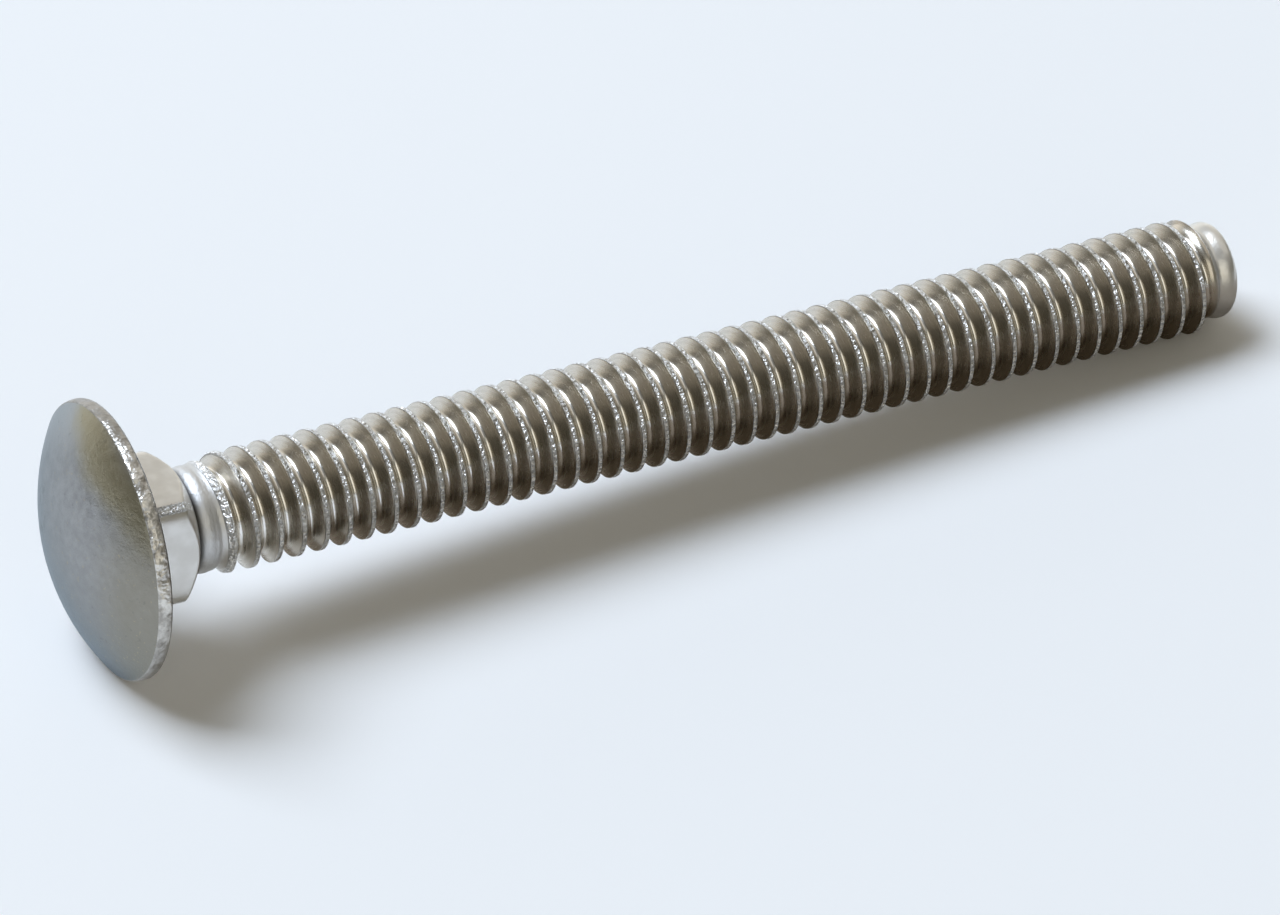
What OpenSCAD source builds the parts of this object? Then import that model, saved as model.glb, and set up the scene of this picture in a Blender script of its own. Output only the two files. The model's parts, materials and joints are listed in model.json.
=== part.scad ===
// Carriage bolt: domed round head, square neck and a rolled thread along the shank.
// It lies on its side as it comes to rest, on the head's rim and the last thread crest.
// The origin is under the middle of the bolt, on the surface that it lies on.

/* [Head] */
// Diameter of the head
head_d = 14.4; // [12:0.1:18]
// Height of the head, from the bearing face to the top of the dome
head_h = 3.1; // [2.4:0.1:4.2]
// Thickness of the head at its rim
rim_t = 0.8; // [0.6:0.05:1.2]
// Rounding of the rim beside the dome
rim_front_round = 0.15; // [0.05:0.01:0.25]
// Rounding of the rim beside the bearing face
rim_back_round = 0.3; // [0.1:0.01:0.34]

/* [Square neck] */
// Width of the neck across its flats
neck_af = 6.22; // [5.6:0.02:8]
// Length of the neck, from the bearing face to the end of its taper
neck_l = 3.5; // [2.6:0.1:6]
// Rounding of the neck's four long corners
neck_corner_r = 1.1; // [0.2:0.05:1.4]
// Length of the taper that brings the corners down to the collar
neck_taper_l = 0.9; // [0.6:0.1:2]

/* [Shank and thread] */
// Length of the bolt under its head
shank_l = 63.5; // [25:0.5:160]
// Diameter over the thread's crests
thread_d = 6.15; // [5:0.05:7.4]
// Distance from one crest to the next
thread_pitch = 1.27; // [0.8:0.01:1.6]
// Length of the plain collar between the neck and the thread
collar_l = 1; // [0.2:0.1:12]

/* [Point] */
// Diameter of the smooth point
point_d = 5.2; // [4:0.1:5.3]
// Length of the smooth point, beyond the last thread
point_l = 1.1; // [0.6:0.1:3]
// Rounding of the point's end
point_round = 0.45; // [0.1:0.05:0.55]

/* [Resting place] */
// How far the bolt has rolled about its own axis, from flats that lie level
roll = 4; // [0:1:45]

/* [Hidden] */
$fn = 96;

head_r = head_d / 2;
thread_r = thread_d / 2;
point_r = point_d / 2;

// The dome is one spherical cap that stands on the rim and laps a little onto its rounding.
dome_lap = 0.01;
dome_edge_r = head_r - rim_front_round + dome_lap;
dome_rise = head_h - rim_t;
dome_r = (dome_edge_r * dome_edge_r + dome_rise * dome_rise) / (2 * dome_rise);
dome_centre = dome_r - head_h;

// Rolling raises the crests and sinks the roots about the blank, which stays bare at the collar.
crest_height = 0.27 * thread_pitch;
blank_r = thread_r - crest_height;

// The taper is a cone through the rounded corners and the collar's edge.
neck_corner_reach = (neck_af / 2 - neck_corner_r) * sqrt(2) + neck_corner_r;
taper_slope = (neck_corner_reach - blank_r) / neck_taper_l;

// Places along the bolt, measured from the bearing face.
neck_root = -rim_t / 2;
thread_start = neck_l + collar_l;
thread_full = thread_start + thread_pitch;
point_start = shank_l - point_l;
thread_end = point_start - thread_pitch / 2;

// It rests on the rounded back of the rim and on the last full crest.
rim_contact_r = head_r - rim_back_round;
rim_contact_z = -rim_back_round;
span_l = thread_end - rim_contact_z;
span_drop = rim_contact_r - thread_r;
lean = atan2(span_drop, span_l) + asin(rim_back_round / norm([span_l, span_drop]));

// The bearing face's centre, from the floor and from the middle of the bolt's length.
face_height = rim_contact_z * sin(lean) + rim_contact_r * cos(lean) + rim_back_round;
back_end = dome_centre * cos(lean) - dome_r;
front_end = shank_l * cos(lean) + (point_r - point_round) * sin(lean);
face_x = -(back_end + front_end) / 2;

// Half section of a disc whose two edges are rounded by different amounts.
module round_edged_section(radius, low, high, low_round, high_round) {
    translate([0, low])
        square([radius - low_round, high - high_round - low]);
    translate([0, low + low_round])
        square([radius - high_round, high - low - low_round]);
    translate([0, low + low_round])
        square([radius, high - high_round - low - low_round]);
    translate([radius - low_round, low + low_round])
        circle(low_round);
    translate([radius - high_round, high - high_round])
        circle(high_round);
}

module dome_section() {
    intersection() {
        translate([0, dome_centre])
            circle(dome_r);
        translate([0, -2 * head_h])
            square([head_r, 2 * head_h - rim_t + rim_front_round / 4]);
    }
}

module head() {
    rotate_extrude() {
        dome_section();
        round_edged_section(head_r, -rim_t, 0, rim_front_round, rim_back_round);
    }
}

module neck_section() {
    flat_w = neck_af - 2 * neck_corner_r;
    square([neck_af, flat_w], center = true);
    square([flat_w, neck_af], center = true);
    for (x = [-1, 1], y = [-1, 1])
        translate([x, y] * flat_w / 2)
            circle(neck_corner_r);
}

module neck() {
    height = neck_l - neck_root;
    translate([0, 0, neck_root])
        intersection() {
            linear_extrude(height)
                neck_section();
            cylinder(h = height, r1 = blank_r + height * taper_slope, r2 = blank_r);
        }
}

// Collar, thread at its full crest diameter with a run-in and a run-out, and the point.
module shank() {
    rotate_extrude() {
        polygon([
            [0, neck_root],
            [blank_r, neck_root],
            [blank_r, thread_start],
            [thread_r, thread_full],
            [thread_r, thread_end],
            [point_r, point_start],
            [0, point_start]
        ]);
        round_edged_section(point_r, thread_end, shank_l, point_round, point_round);
    }
}

module bolt() {
    color([0.62, 0.6, 0.57])
        translate([face_x, 0, face_height])
            rotate([0, 90 + lean, 0])
                rotate([0, 0, -roll]) {
                    head();
                    neck();
                    shank();
                }
}

bolt();
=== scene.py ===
"""Carriage bolt: one closed skin of worked stainless steel, lying on a pale table in a studio."""

import json
import math

import bpy
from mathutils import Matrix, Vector, noise


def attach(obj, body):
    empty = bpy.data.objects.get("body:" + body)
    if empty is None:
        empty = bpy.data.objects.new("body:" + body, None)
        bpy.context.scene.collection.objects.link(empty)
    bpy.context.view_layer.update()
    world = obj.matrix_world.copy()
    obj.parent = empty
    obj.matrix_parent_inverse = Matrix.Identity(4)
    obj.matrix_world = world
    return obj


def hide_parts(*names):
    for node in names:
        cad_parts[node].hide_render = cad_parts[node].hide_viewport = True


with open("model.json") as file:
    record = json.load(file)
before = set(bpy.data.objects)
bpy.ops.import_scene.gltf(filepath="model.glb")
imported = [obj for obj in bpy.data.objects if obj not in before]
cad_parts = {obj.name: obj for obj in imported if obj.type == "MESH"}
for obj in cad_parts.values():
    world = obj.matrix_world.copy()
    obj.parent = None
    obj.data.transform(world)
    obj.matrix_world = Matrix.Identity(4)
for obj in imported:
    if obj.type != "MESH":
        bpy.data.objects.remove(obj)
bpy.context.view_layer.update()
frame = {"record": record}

MM = 0.001

# Sizes in millimetres. Heights are along the bolt, from the bearing face towards the point.
HEAD_R = 7.2
HEAD_H = 3.1
RIM_T = 0.8
RIM_FRONT_ROUND = 0.15
RIM_BACK_ROUND = 0.3
# The dome's edge stands a little way out on the rim's front rounding.
DOME_LAP = 0.01
NECK_AF = 6.22
NECK_L = 3.5
NECK_CORNER_R = 1.1
NECK_TAPER_L = 0.9
NECK_FILLET = 0.18
NECK_ROLL = math.radians(4)
COLLAR_R = 2.732
THREAD_R = 3.07
ROOT_R = 2.31
PITCH = 1.27
# Share of a turn from the bearing face to the crest, on top of the bolt.
LEAD_IN = 0.817
# The thread rises from the collar. Before the point its crests are chamfered and its groove fades.
RUN_IN = (4.3, 5.65)
CHAMFER = (61.5, 62.4)
RUN_OUT = (61.85, 62.4)
# Between these two the steel has a rolled thread's colours.
COLOURED_IN = (4.4, 5.4)
COLOURED_OUT = (61.9, 62.4)
THROAT_R = 2.42
THROAT_Z = 62.36
POINT_R = 2.6
POINT_ROUND = 0.45
SHANK_L = 63.5

# Points in each ring of the skin, and rings in the dome.
COLUMNS = 120
DOME_RINGS = 26

bearing = next(m for m in frame["record"]["mounts"] if m["name"] == "bearing_face")
ALONG = Vector(bearing["axis"]).normalized()
SIDE = Vector((0, -1, 0))
UP = SIDE.cross(ALONG)
FACE = Vector(bearing["pos_m"])


def smooth(low, high, x):
    """0 below low, 1 above high, and an even ease between them."""
    x = min(max((x - low) / (high - low), 0), 1)
    return x * x * (3 - 2 * x)


def mix(a, b, share):
    return a + (b - a) * share


def waver(angle, height, scale, seed):
    """Slow unevenness of forged metal, from -1 to 1, that closes on itself round the bolt."""
    place = Vector((math.cos(angle) * 7, math.sin(angle) * 7, height)) / scale
    return noise.noise(place + Vector((seed * 7.3, seed * 3.1, seed * 5.7)))


class Skin:
    """The bolt's surface as it is built, ring by ring, from the top of the dome."""

    def __init__(self):
        self.points = []
        self.faces = []
        self.finishes = []
        self.angles = [math.tau * i / COLUMNS - NECK_ROLL for i in range(COLUMNS)]
        self.last = None

    def point(self, angle, radius, height):
        outward = UP * math.cos(angle) + SIDE * math.sin(angle)
        self.points.append(FACE + MM * (ALONG * height + outward * radius))
        return len(self.points) - 1

    def ring(self, radius, height):
        """A closed ring. Radius and height are numbers or functions of the angle."""
        radius_at = radius if callable(radius) else lambda angle: radius
        height_at = height if callable(height) else lambda angle: height
        return [self.point(a, radius_at(a), height_at(a)) for a in self.angles]

    def face(self, corners, finish):
        """Adds a face. Corners that have run together count once."""
        kept = []
        for c in corners:
            if c not in kept:
                kept.append(c)
        if len(kept) > 2:
            self.faces.append(kept)
            self.finishes.append(finish)

    def join(self, ring, finish):
        """Carries the skin on to this ring."""
        for i in range(COLUMNS):
            j = (i + 1) % COLUMNS
            self.face((self.last[i], self.last[j], ring[j], ring[i]), finish)
        self.last = ring

    def start(self, height, ring, finish):
        """Opens the skin with a fan from the axis to its first ring."""
        middle = self.point(0, 0, height)
        for i in range(COLUMNS):
            self.face((middle, ring[(i + 1) % COLUMNS], ring[i]), finish)
        self.last = ring

    def close(self, height, finish):
        """Closes the skin with a fan to the axis."""
        middle = self.point(0, 0, height)
        for i in range(COLUMNS):
            self.face((self.last[i], self.last[(i + 1) % COLUMNS], middle), finish)


DOME, RIM, NECK, THREAD, POINT = range(5)


def forge_head(skin):
    """The dome and the hammered rim, as far as the bearing face."""
    edge_r = HEAD_R - RIM_FRONT_ROUND + DOME_LAP
    rise = HEAD_H - RIM_T
    dome_r = (edge_r**2 + rise**2) / (2 * rise)
    centre = dome_r - HEAD_H
    edge_angle = math.asin(edge_r / dome_r)
    for k in range(1, DOME_RINGS + 1):
        lift = edge_angle * (k / DOME_RINGS) ** 0.9
        # The dome keeps a little of the blank's unevenness, and none at its edge.
        held = 1 - smooth(0.8, 1, k / DOME_RINGS)

        def radius(angle):
            return dome_r * math.sin(lift) * (1 + 0.0015 * held * waver(angle, k, 6, 1))

        def height(angle):
            spread = math.sin(lift) * dome_r
            sway = noise.noise(Vector((math.cos(angle) * spread, math.sin(angle) * spread, 3)) / 2.6)
            return centre - dome_r * math.cos(lift) + 0.012 * held * sway

        ring = skin.ring(radius, height)
        if k == 1:
            skin.start(-HEAD_H, ring, DOME)
        else:
            skin.join(ring, DOME)

    # Front rounding, which the hammer has drawn out along the rim, and back rounding.
    drawn_out = 0.4
    profile = []
    for k in range(1, 6):
        turn = math.radians(18 * k)
        r = HEAD_R - RIM_FRONT_ROUND * (1 - math.sin(turn))
        profile.append((r, -RIM_T + drawn_out * (1 - math.cos(turn))))
    for k in range(0, 7):
        turn = math.radians(15 * k)
        r = HEAD_R - RIM_BACK_ROUND * (1 - math.cos(turn))
        profile.append((r, -RIM_BACK_ROUND * (1 - math.sin(turn))))
    for r, z in profile:
        held = smooth(-RIM_T, -RIM_T + 0.15, z) * (1 - smooth(-0.2, 0, z))

        def dented(angle):
            dent = 0.028 * (0.5 + 0.5 * waver(angle, z * 2, 1.1, 2))
            nick = 0.012 * (0.5 + 0.5 * waver(angle, z * 5, 0.4, 3))
            return r - held * (dent + nick)

        skin.join(skin.ring(dented, z), RIM)


def neck_reach(angle):
    """Distance from the bolt's axis to the square neck's face at this angle."""
    quarter = (angle + NECK_ROLL + math.pi / 4) % (math.pi / 2) - math.pi / 4
    inner = NECK_AF / 2 - NECK_CORNER_R
    flat = NECK_AF / 2 / math.cos(quarter)
    if abs(math.tan(quarter)) * NECK_AF / 2 <= inner:
        return flat
    away = abs(quarter) - math.pi / 4
    corner = inner * math.sqrt(2)
    return corner * math.cos(away) + math.sqrt(NECK_CORNER_R**2 - (corner * math.sin(away)) ** 2)


def forge_neck(skin):
    """The bearing face, the square neck with its taper, and the collar."""
    for k in range(1, 7):
        share = k / 6
        outer = HEAD_R - RIM_BACK_ROUND
        skin.join(skin.ring(lambda a: mix(outer, neck_reach(a) + NECK_FILLET, share), 0.0), RIM)
    for k in range(1, 5):
        turn = math.radians(22.5 * k)
        out = NECK_FILLET * (1 - math.sin(turn))
        skin.join(skin.ring(lambda a: neck_reach(a) + out, NECK_FILLET * (1 - math.cos(turn))), NECK)
    reach = (NECK_AF / 2 - NECK_CORNER_R) * math.sqrt(2) + NECK_CORNER_R
    slope = (reach - COLLAR_R) / NECK_TAPER_L
    # Wide steps up the plain part of the neck, and close ones where the taper cuts its corners.
    heights = [0.6, 1.2, 1.8, 2.2, 2.4] + [2.5 + 0.08 * k for k in range(9)] + [3.2, 3.26]
    for z in heights:
        cone = COLLAR_R + (NECK_L - z) * slope

        def radius(angle):
            side = neck_reach(angle)
            blend = 0.03
            gap = side - cone
            ease = max(blend - abs(gap), 0) ** 2 / (4 * blend)
            return min(side, cone) - ease + 0.006 * waver(angle, z, 0.7, 4)

        skin.join(skin.ring(radius, z), NECK)
    # A steep shoulder, a groove at its foot and the collar that swells out of it.
    shoulder = ((2.96, 3.31), (2.82, 3.34), (2.68, 3.37), (2.56, 3.4), (2.51, 3.43))
    swell = ((2.5, 3.47), (2.53, 3.54), (2.6, 3.64), (2.67, 3.75), (2.73, 3.88))
    collar = ((2.76, 4.02), (2.76, 4.16), (2.745, 4.24))
    for r, z in shoulder:
        skin.join(skin.ring(r, z), NECK)
    for r, z in swell + collar:
        skin.join(skin.ring(lambda a: r + 0.012 * waver(a, z, 0.9, 7), z), THREAD)


# Half of the thread's profile, from the middle of a crest to the middle of a root: share of the
# pitch, and depth. The crest has a faint seam where the rolled metal met, and the root is rounded.
CREST = ((0.0, 0.03), (0.06, 0.0), (0.095, 0.012), (0.125, 0.075))
ROOT = ((0.365, 0.655), (0.41, 0.724), (0.455, 0.752), (0.5, THREAD_R - ROOT_R))
PROFILE = CREST + ROOT


def thread_radius(z, depth):
    """Radius at this depth of the profile. The ridge rises and the groove sinks about the collar."""
    rolled = mix(COLLAR_R, THREAD_R - depth, smooth(*RUN_IN, z))
    limit = mix(THREAD_R, THROAT_R, smooth(*CHAMFER, z))
    return mix(min(rolled, limit), limit, smooth(*RUN_OUT, z))


def roll_thread(skin):
    """The thread's helix, as strands that climb round the bolt from the collar to the throat."""
    shares = [s for s, _ in PROFILE] + [1 - s for s, _ in reversed(PROFILE[1:-1])]
    depths = [d for _, d in PROFILE] + [d for _, d in reversed(PROFILE[1:-1])]
    rows = len(shares)
    low, high = RUN_IN[0], THROAT_Z
    first = skin.ring(COLLAR_R, low)
    skin.join(first, THREAD)
    last = skin.ring(THROAT_R, high)
    strands = {}
    start_turn = int(low / PITCH) - 3
    end_turn = int(high / PITCH) + 3
    # Strands that have reached an end lie on its ring.
    reached = 0.004

    def spot(strand, column):
        if column == COLUMNS:
            strand, column = strand + rows, 0
        key = (strand, column)
        if key not in strands:
            turn, row = divmod(strand, rows)
            angle = skin.angles[column]
            z = PITCH * (turn + shares[row] + LEAD_IN + angle / math.tau)
            if z <= low + reached:
                strands[key] = first[column]
            elif z >= high - reached:
                strands[key] = last[column]
            else:
                r = thread_radius(z, depths[row])
                if row in (0, 1, rows - 1):
                    chewed = 0.012 * (0.5 + 0.5 * waver(angle, z * 1.7, 0.35, 5))
                    r -= chewed * smooth(4.5, 5.5, z)
                strands[key] = skin.point(angle, r, z)
        return strands[key]

    for strand in range(start_turn * rows, end_turn * rows):
        for i in range(COLUMNS):
            below = (spot(strand, i), spot(strand, i + 1))
            above = (spot(strand + 1, i + 1), spot(strand + 1, i))
            skin.face(below + above, THREAD)
    skin.last = last


def round_point(skin):
    """The smooth point, which swells from the last groove and ends in a shallow dish."""
    for share in (0.2, 0.4, 0.6, 0.8):
        swell = smooth(-0.25, 1, share) * 1.08 - 0.08
        z = mix(THROAT_Z, SHANK_L - POINT_ROUND, share)
        skin.join(skin.ring(mix(THROAT_R, POINT_R, swell), z), POINT)
    for k in range(0, 8):
        turn = math.radians(90 * k / 7)
        z = SHANK_L - POINT_ROUND * (1 - math.sin(turn))
        r = POINT_R - POINT_ROUND * (1 - math.cos(turn))
        skin.join(skin.ring(lambda a: r - 0.015 * (0.5 + 0.5 * waver(a, z, 0.9, 6)), z), POINT)
    edge = POINT_R - POINT_ROUND
    skin.join(skin.ring(edge * 0.93, SHANK_L - 0.01), POINT)
    for share in (0.84, 0.7, 0.5, 0.25):
        sunk = 0.16 * smooth(1, 0.6, share)

        def height(angle):
            sway = noise.noise(Vector((math.cos(angle), math.sin(angle), 8)) * edge * share / 0.7)
            return SHANK_L - sunk - 0.02 * (1 + sway)

        skin.join(skin.ring(edge * share, height), POINT)
    skin.close(SHANK_L - 0.18, POINT)


class Wire:
    """One value in a material. Arithmetic on it adds Math nodes."""

    def __init__(self, shop, socket):
        self.shop = shop
        self.socket = socket

    def maths(self, operation, *values):
        node = self.shop.tree.nodes.new("ShaderNodeMath")
        node.operation = operation
        for place, value in zip(node.inputs, values):
            self.shop.feed(place, value)
        return Wire(self.shop, node.outputs[0])

    def __add__(self, other):
        return self.maths("ADD", self, other)

    def __radd__(self, other):
        return self.maths("ADD", other, self)

    def __sub__(self, other):
        return self.maths("SUBTRACT", self, other)

    def __rsub__(self, other):
        return self.maths("SUBTRACT", other, self)

    def __mul__(self, other):
        return self.maths("MULTIPLY", self, other)

    def __rmul__(self, other):
        return self.maths("MULTIPLY", other, self)

    def __truediv__(self, other):
        return self.maths("DIVIDE", self, other)

    def __pow__(self, other):
        return self.maths("POWER", self, other)

    def __abs__(self):
        return self.maths("ABSOLUTE", self)

    def swing(self, span):
        """Runs from 0 up to the span and back, again and again."""
        return self.maths("PINGPONG", self, span)


class Shop:
    """A node tree, and the few ways in which its nodes are added."""

    def __init__(self, tree):
        self.tree = tree
        self.tree.nodes.clear()

    def feed(self, place, value):
        """Puts a number, a colour or a wire into a socket."""
        if isinstance(value, Wire):
            self.tree.links.new(value.socket, place)
        elif value is not None:
            place.default_value = value

    def add(self, kind, settings=None, sockets=None, out=0):
        """Adds a node. Settings come first, then the values or wires of its sockets."""
        node = self.tree.nodes.new(kind)
        for name, value in (settings or {}).items():
            if name == "stops":
                ramp = node.color_ramp
                while len(ramp.elements) < len(value):
                    ramp.elements.new(0.5)
                for stop, (place, colour) in zip(ramp.elements, value):
                    stop.position = place
                    stop.color = (*colour, 1)
            else:
                setattr(node, name, value)
        for name, value in (sockets or {}).items():
            self.feed(node.inputs[name], value)
        return Wire(self, node.outputs[out])

    def ease(self, value, low, high):
        """0 at low, 1 at high, eased."""
        return self.add(
            "ShaderNodeMapRange",
            {"interpolation_type": "SMOOTHSTEP"},
            {"Value": value, "From Min": low, "From Max": high},
        )

    def blend(self, share, first, second, how="MIX"):
        """A colour between two colours."""
        return self.add(
            "ShaderNodeMix",
            {"data_type": "RGBA", "blend_type": how, "clamp_factor": True},
            {0: share, 6: first, 7: second},
            out=2,
        )

    def grain(self, place, scale, detail=2.0, rough=0.5, stretch=None):
        """Noise, from 0 to 1, with a feature every 1/scale millimetres."""
        if stretch:
            place = self.add("ShaderNodeVectorMath", {"operation": "MULTIPLY"}, {0: place, 1: stretch})
        return self.add(
            "ShaderNodeTexNoise",
            {"noise_dimensions": "3D"},
            {"Vector": place, "Scale": scale, "Detail": detail, "Roughness": rough},
        )

    def dot(self, first, second):
        settings = {"operation": "DOT_PRODUCT"}
        return self.add("ShaderNodeVectorMath", settings, {0: first, 1: second}, out="Value")

    def output(self, shader, kind="ShaderNodeOutputMaterial"):
        """Ends the tree with its output node."""
        node = self.tree.nodes.new(kind)
        self.feed(node.inputs["Surface"], shader)


class Steel(Shop):
    """A steel finish. It knows the place on the bolt in millimetres: up, side, and along from the bearing
    face, and also the angle and the radius round the bolt's axis."""

    def __init__(self, name):
        self.material = bpy.data.materials.new(name)
        self.material.use_nodes = True
        super().__init__(self.material.node_tree)
        spot = self.add("ShaderNodeTexCoord", out="Object")
        offset = self.add("ShaderNodeVectorMath", {"operation": "SUBTRACT"}, {0: spot, 1: FACE})
        self.up = self.dot(offset, UP / MM)
        self.side = self.dot(offset, SIDE / MM)
        self.along = self.dot(offset, ALONG / MM)
        self.place = self.add("ShaderNodeCombineXYZ", None, {0: self.up, 1: self.side, 2: self.along})
        self.angle = self.side.maths("ARCTAN2", self.side, self.up)
        self.radius = (self.up * self.up + self.side * self.side) ** 0.5

    def bump(self, height, depth, under=None):
        """A Bump node. Depth is the height of 1, in millimetres."""
        return self.add(
            "ShaderNodeBump",
            None,
            {"Height": height, "Strength": 1.0, "Distance": depth * MM, "Normal": under},
        )

    def finish(self, colour, roughness, normal, metallic=1.0, edge_tint=(1, 1, 1, 1)):
        """Ends the finish. The edge tint colours what the steel reflects at a glancing angle."""
        sockets = {"Base Color": colour, "Specular Tint": edge_tint, "Metallic": metallic}
        sockets.update({"Roughness": roughness, "Normal": normal})
        self.output(self.add("ShaderNodeBsdfPrincipled", None, sockets))
        return self.material


def tumbled_dome():
    """The dome: satin from the tumbling barrel, with a painted blue reflection, a painted olive
    reflection band, a painted highlight and painted shade.
    """
    s = Steel("tumbled_dome")
    broad = s.grain(s.place, 0.35, 3, 0.55)
    mottle = s.grain(s.place, 1.7, 4, 0.62)
    fine = s.grain(s.place, 9, 3, 0.65)
    # Painted reflection: the lower side of the dome towards +Y is painted with the table's blue, lighter
    # above and darker below.
    tint = s.ease(broad * 2.4 - s.up * 0.77 - s.side * 0.64, 0.5, 6.0)
    colour = s.blend(s.ease(mottle, 0.3, 0.72), (0.32, 0.32, 0.32, 1), (0.41, 0.41, 0.41, 1))
    # Painted shade: the dome is painted darker towards the bottom.
    low = 1 - s.ease(s.up + broad * 1.5, -5.5, 5.0)
    colour = s.blend(low, colour, (0.285, 0.285, 0.28, 1))
    colour = s.blend(tint * 0.9, colour, s.blend(low, (0.33, 0.37, 0.39, 1), (0.185, 0.215, 0.24, 1)))
    # Painted shade: the dome's lower edge towards +Y is painted dark blue.
    edge = s.ease(broad * 1.5 - s.up * 0.77 - s.side * 0.64, 3.6, 7.2)
    colour = s.blend(edge * 0.85, colour, (0.15, 0.19, 0.22, 1))
    # Painted reflection: a dark olive band, painted as the reflection of the dark horizon, crosses the
    # upper part, and one side is duller than the other.
    across = s.up + s.side * 0.3 + broad * 1.2 - 7.0
    painted_horizon_band = 1 - s.ease(abs(across), 0.2, 1.9)
    painted_horizon_band = painted_horizon_band * s.ease(s.side, -4.2, -2.0)
    # Painted highlight: the upper part of the dome towards +Y is painted lighter.
    colour = s.blend(s.ease(s.up - s.side * 0.6, 4.8, 8.2), colour, (0.48, 0.485, 0.48, 1))
    colour = s.blend(painted_horizon_band * 0.9, colour, (0.46, 0.41, 0.28, 1))
    dull = s.ease(s.side + broad, 2.8, 6.2)
    colour = s.blend(dull * 0.6, colour, (0.28, 0.255, 0.19, 1))
    # Gold-coloured specks, and a few dark rubs from the tumbling barrel.
    speck = s.ease(s.grain(s.place, 5.0, 2, 0.5), 0.66, 0.72)
    colour = s.blend(speck * 0.45, colour, (0.50, 0.42, 0.27, 1))
    rub_place = (s.up - 0.4) * (s.up - 0.4) * 0.35 + (s.side + 2.9) * (s.side + 2.9)
    rub = (1 - s.ease(rub_place, 0.1, 1.6)) * s.ease(s.grain(s.place, 1.9, 3, 0.6), 0.5, 0.62)
    pit = s.ease(s.grain(s.place, 2.6, 3, 0.5), 0.66, 0.72)
    colour = s.blend(rub * 0.5 + pit * 0.25, colour, (0.15, 0.15, 0.145, 1))
    roughness = 0.25 + mottle * 0.13 + fine * 0.07
    normal = s.bump(mottle, 0.035)
    normal = s.bump(fine, 0.014, normal)
    return s.finish(colour, roughness, normal, edge_tint=(0.66, 0.72, 0.76, 1))


def hammered_rim():
    """The rim and the head's underside: bright, dented and cracked."""
    s = Steel("hammered_rim")
    dents = s.grain(s.place, 0.8, 3, 0.55)
    cracks = s.grain(s.place, 1.6, 4, 0.65)
    fine = s.grain(s.place, 8, 3, 0.7)
    colour = s.blend(s.ease(cracks, 0.36, 0.6), (0.42, 0.40, 0.37, 1), (0.8, 0.78, 0.74, 1))
    # Painted highlight: the rim's side that faces up and towards -Y is painted lighter and the rest of
    # the rim darker; that side also carries the knocks' bump.
    knocks_and_painted_highlight = s.ease(s.up * 0.53 + s.side * 0.85 + dents, 4.9, 7.2)
    colour = s.blend(1 - knocks_and_painted_highlight, colour, s.blend(0.75, colour, (0.30, 0.285, 0.265, 1)))
    under = s.ease(s.along, -0.14, -0.02)
    colour = s.blend(under * 0.75, colour, (0.6, 0.585, 0.56, 1))
    roughness = 0.28 + fine * 0.16
    hits = s.grain(s.place, 1.9, 2, 0.5)
    normal = s.bump(dents * (1 - under * 0.8), 0.22)
    normal = s.bump(hits * knocks_and_painted_highlight * (1 - under), 0.2, normal)
    normal = s.bump(cracks * (1 - under * 0.7), 0.05, normal)
    normal = s.bump(fine, 0.008, normal)
    return s.finish(colour, roughness, normal, 0.85)


def pressed_neck():
    """The square neck: smooth flats and rough, bright corners."""
    s = Steel("pressed_neck")
    broad = s.grain(s.place, 0.9, 2, 0.5)
    drag = s.grain(s.place, 6, 3, 0.6, (1, 1, 0.18))
    fine = s.grain(s.place, 9, 3, 0.7)
    # The four corners are worn bright and rough.
    quarter = (s.angle + NECK_ROLL).swing(math.pi / 4)
    corner = s.ease(quarter + fine * 0.1, 0.77, 0.8)
    worn = s.grain(s.place, 5.0, 1, 0.5)
    colour = s.blend(s.ease(broad, 0.3, 0.7), (0.70, 0.685, 0.655, 1), (0.81, 0.80, 0.78, 1))
    bright = s.blend(s.ease(worn, 0.45, 0.55), (0.85, 0.84, 0.82, 1), (1.0, 1.0, 0.98, 1))
    colour = s.blend(corner * 0.8, colour, bright)
    # Painted shade: the shoulder at the end of the neck, in the groove before the collar, is painted
    # dark.
    colour = s.blend(s.ease(s.along, 3.12, 3.38), colour, (0.09, 0.085, 0.08, 1))
    roughness = 0.3 + drag * 0.12
    normal = s.bump(broad, 0.02)
    normal = s.bump(drag, 0.006, normal)
    normal = s.bump(worn * corner, 0.5, normal)
    return s.finish(colour, roughness, normal, 1 - corner * 0.6)


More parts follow.
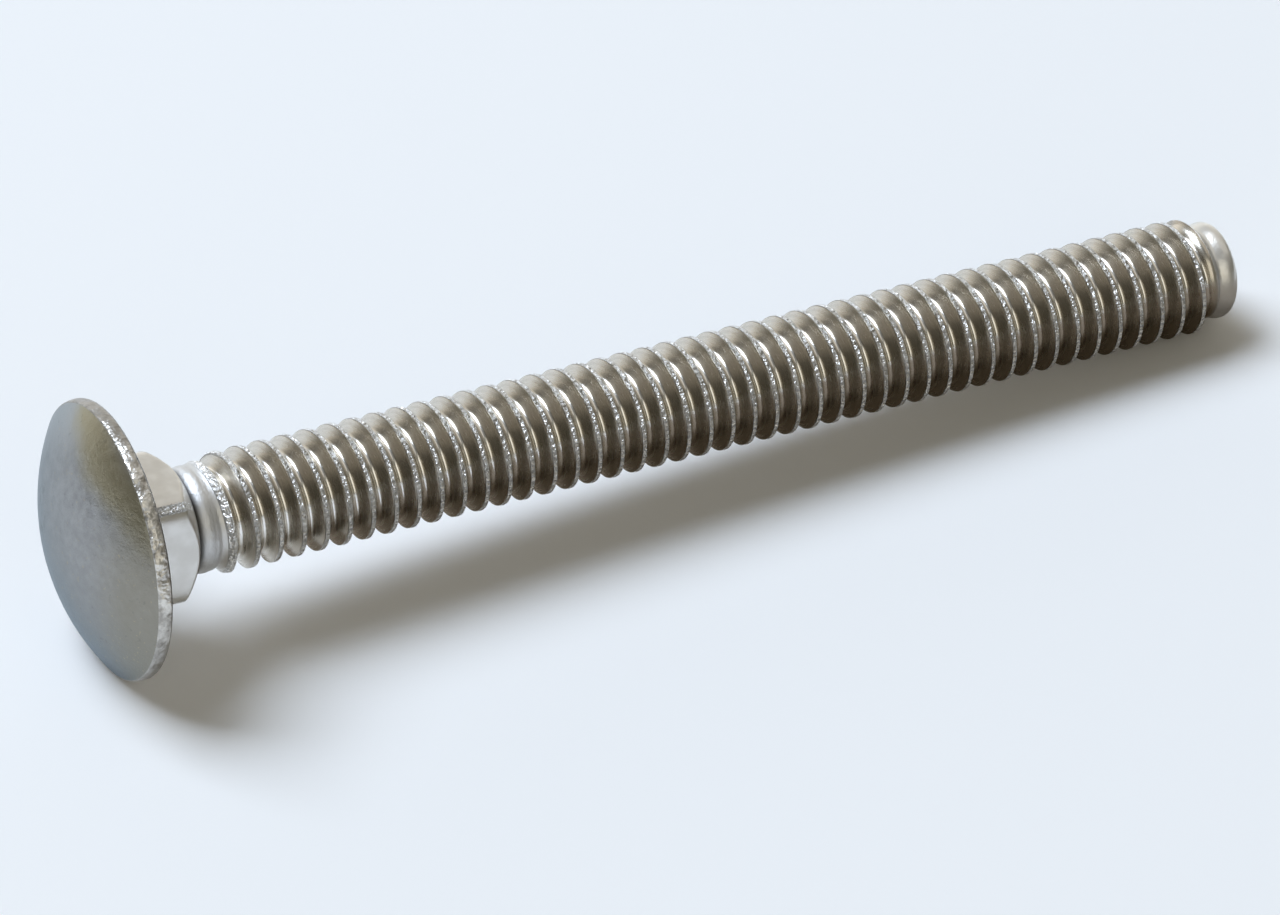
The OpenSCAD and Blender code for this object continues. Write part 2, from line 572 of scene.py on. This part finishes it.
def rolled_thread():
    """The collar and the thread, with bright crests, painted highlights in the roots, and painted shade
    between them.
    """
    s = Steel("rolled_thread")
    turns = s.along / PITCH - s.angle / math.tau - LEAD_IN
    from_crest = turns.swing(0.5)
    threaded = s.ease(s.along, *COLOURED_IN) * (1 - s.ease(s.along, *COLOURED_OUT))
    # The first crests beside the collar are broader.
    first = 1 - s.ease(s.along, 5.2, 6.4)
    crest = (1 - s.ease(from_crest - first * 0.1, 0.075, 0.11)) * threaded
    # Painted highlight: the bottom of each groove is painted near white.
    root = s.ease(from_crest, 0.4, 0.45) * threaded
    # Painted shade: the side of each ridge that faces the point is painted darker.
    back = turns.maths("FRACT", turns)
    painted_flank_shade = s.ease(back, 0.12, 0.18) * (1 - s.ease(back, 0.34, 0.42)) * threaded
    # Rolling drags the metal along the groove, so its marks run round the bolt.
    drag = s.add("ShaderNodeCombineXYZ", None, {0: s.angle * 1.2, 1: s.radius * 3, 2: from_crest * 5})
    marks = s.grain(drag, 1.4, 2, 0.5)
    flecks = s.grain(s.place, 4.8, 1, 0.5)
    colour = s.blend(s.ease(marks, 0.3, 0.7), (0.62, 0.58, 0.51, 1), (0.72, 0.68, 0.61, 1))
    colour = s.blend(1 - threaded, colour, (0.68, 0.685, 0.69, 1))
    # Painted shade: the groove at the foot of the neck's shoulder is painted dark, fading out up the
    # collar.
    colour = s.blend(1 - s.ease(s.along, 3.5, 3.8), colour, (0.09, 0.085, 0.08, 1))
    bright = s.blend(s.ease(flecks, 0.45, 0.55), (0.8, 0.79, 0.77, 1), (1.0, 1.0, 0.99, 1))
    colour = s.blend(crest, colour, bright)
    # Painted shade on the point-facing flanks.
    colour = s.blend(painted_flank_shade * 0.6, colour, (0.16, 0.145, 0.12, 1))
    # Painted highlight in the roots.
    colour = s.blend(root * 0.85, colour, (1.0, 0.99, 0.97, 1))
    roughness = 0.25 + marks * 0.04 + crest * 0.05 - root * 0.05 + (1 - threaded) * 0.24
    normal = s.bump(marks, 0.005)
    normal = s.bump(flecks * crest, 0.66, normal)
    rough_blank = s.grain(s.place, 3.5, 3, 0.6, (1, 1, 2.2))
    normal = s.bump(rough_blank * (1 - threaded), 0.03, normal)
    return s.finish(colour, roughness, normal, 1 - crest * 0.35)


def cropped_point():
    """The point beyond the thread."""
    s = Steel("cropped_point")
    broad = s.grain(s.place, 0.9, 3, 0.5)
    fine = s.grain(s.place, 8, 3, 0.6)
    colour = s.blend(s.ease(broad, 0.3, 0.7), (0.74, 0.72, 0.68, 1), (0.86, 0.85, 0.82, 1))
    roughness = 0.27 + fine * 0.12
    normal = s.bump(broad, 0.03)
    normal = s.bump(fine, 0.012, normal)
    return s.finish(colour, roughness, normal, 0.8)


def make_bolt():
    """The bolt in one piece."""
    skin = Skin()
    forge_head(skin)
    forge_neck(skin)
    roll_thread(skin)
    round_point(skin)
    mesh = bpy.data.meshes.new("carriage_bolt")
    mesh.from_pydata(skin.points, [], skin.faces)
    for finish in (tumbled_dome, hammered_rim, pressed_neck, rolled_thread, cropped_point):
        mesh.materials.append(finish())
    mesh.polygons.foreach_set("material_index", skin.finishes)
    mesh.polygons.foreach_set("use_smooth", [True] * len(mesh.polygons))
    mesh.update()
    bolt = bpy.data.objects.new("carriage_bolt", mesh)
    bpy.context.scene.collection.objects.link(bolt)
    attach(bolt, "root")
    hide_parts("bolt")


def make_table():
    """The pale table that the bolt lies on."""
    half = 1.6
    corners = [(-half, -half, 0), (half, -half, 0), (half, half, 0), (-half, half, 0)]
    mesh = bpy.data.meshes.new("table_top")
    mesh.from_pydata(corners, [], [(0, 1, 2, 3)])
    material = bpy.data.materials.new("pale_card")
    material.use_nodes = True
    shop = Shop(material.node_tree)
    sockets = {"Base Color": (0.9, 0.9, 0.9, 1), "Roughness": 0.85, "Specular IOR Level": 0.2}
    shop.output(shop.add("ShaderNodeBsdfPrincipled", None, sockets))
    mesh.materials.append(material)
    table = bpy.data.objects.new("table_top", mesh)
    bpy.context.scene.collection.objects.link(table)


def toward(compass, height, distance):
    """A place in metres, seen from the bolt's middle. Compass, from +X towards +Y, and height above the
    table are in degrees."""
    a, e = math.radians(compass), math.radians(height)
    return Vector((math.cos(a) * math.cos(e), math.sin(a) * math.cos(e), math.sin(e))) * distance


def soft_box(name, compass, height, distance, width, tall, brightness, colour):
    """A soft box that faces the bolt. Width and tall are the angles it fills, in degrees, and brightness
    is that of its surface."""
    lamp = bpy.data.lights.new(name, "AREA")
    lamp.shape = "RECTANGLE"
    lamp.size = 2 * distance * math.tan(math.radians(width / 2))
    lamp.size_y = 2 * distance * math.tan(math.radians(tall / 2))
    lamp.energy = brightness * math.pi * lamp.size * lamp.size_y
    lamp.color = colour
    holder = bpy.data.objects.new(name, lamp)
    holder.location = toward(compass, height, distance)
    holder.rotation_mode = "QUATERNION"
    holder.rotation_quaternion = (-holder.location).to_track_quat("-Z", "Y")
    holder.visible_camera = False
    bpy.context.scene.collection.objects.link(holder)
    return holder


def make_reflection_shade_flag():
    """Painted shade in reflections: a dark card on the table, beside the thread, that only shows in the
    steel's reflections.
    """
    lift = 0.0002
    beside_head = ((-0.0235, 0.003), (-0.0205, -0.008), (-0.0185, -0.012), (-0.012, -0.03))
    outline = beside_head + ((-0.01, -0.09), (0.09, -0.09), (0.04, 0.003))
    mesh = bpy.data.meshes.new("reflection_shade_flag")
    mesh.from_pydata([(x, y, lift) for x, y in outline], [], [tuple(range(len(outline)))])
    material = bpy.data.materials.new("reflection_shade_card")
    material.use_nodes = True
    shop = Shop(material.node_tree)
    sockets = {"Base Color": (0.22, 0.18, 0.14, 1), "Roughness": 0.95, "Specular IOR Level": 0.0}
    shop.output(shop.add("ShaderNodeBsdfPrincipled", None, sockets))
    mesh.materials.append(material)
    flag = bpy.data.objects.new("reflection_shade_flag", mesh)
    flag.visible_camera = flag.visible_diffuse = flag.visible_shadow = False
    bpy.context.scene.collection.objects.link(flag)


def make_studio():
    """A dim warm room with a bright low zone behind the bolt, a large cool soft box high behind the
    head, a weak warm one in front, a roof card and the dark card, which paints shade into reflections."""
    world = bpy.data.worlds.new("studio_room")
    bpy.context.scene.world = world
    world.use_nodes = True
    shop = Shop(world.node_tree)
    ray = shop.add("ShaderNodeTexCoord", out="Generated")
    height = shop.dot(ray, (0, 0, 1))
    behind = shop.ease(shop.dot(ray, toward(76, 0, 1)), 0.35, 0.97) * (1 - shop.ease(height, 0.12, 0.7))
    stops = ((0.0, (0.085, 0.073, 0.042)), (0.3, (0.11, 0.1, 0.07)), (1.0, (0.16, 0.155, 0.14)))
    walls = shop.add("ShaderNodeValToRGB", {"stops": stops}, {"Fac": height})
    walls = shop.blend(behind, walls, (1.15, 1.11, 1.02, 1))
    background = shop.add("ShaderNodeBackground", None, {"Color": walls, "Strength": 1.0})
    shop.output(background, "ShaderNodeOutputWorld")
    soft_box("key_soft_box", 130, 59, 1.8, 34, 32, 9.8, (0.775, 0.868, 1.0))
    soft_box("front_soft_box", 254, 28, 1.5, 46, 46, 0.8, (1.0, 0.953, 0.823))
    make_reflection_shade_flag()
    roof = soft_box("roof_card", 20, 58, 1.5, 70, 60, 0.45, (1.0, 0.94, 0.84))
    roof.visible_diffuse = False


def make_camera():
    lens = bpy.data.cameras.new("camera")
    lens.lens = 217.95
    lens.sensor_width = 36
    lens.clip_start, lens.clip_end = 0.01, 20
    camera = bpy.data.objects.new("camera", lens)
    camera.location = (-0.14512, -0.28267, 0.24221)
    camera.rotation_mode = "QUATERNION"
    camera.rotation_quaternion = Vector((0.36229, 0.71041, -0.60338)).to_track_quat("-Z", "Y")
    bpy.context.scene.collection.objects.link(camera)
    bpy.context.scene.camera = camera


make_camera()
make_bolt()
make_table()
make_studio()
bpy.context.scene.view_settings.view_transform = "Standard"
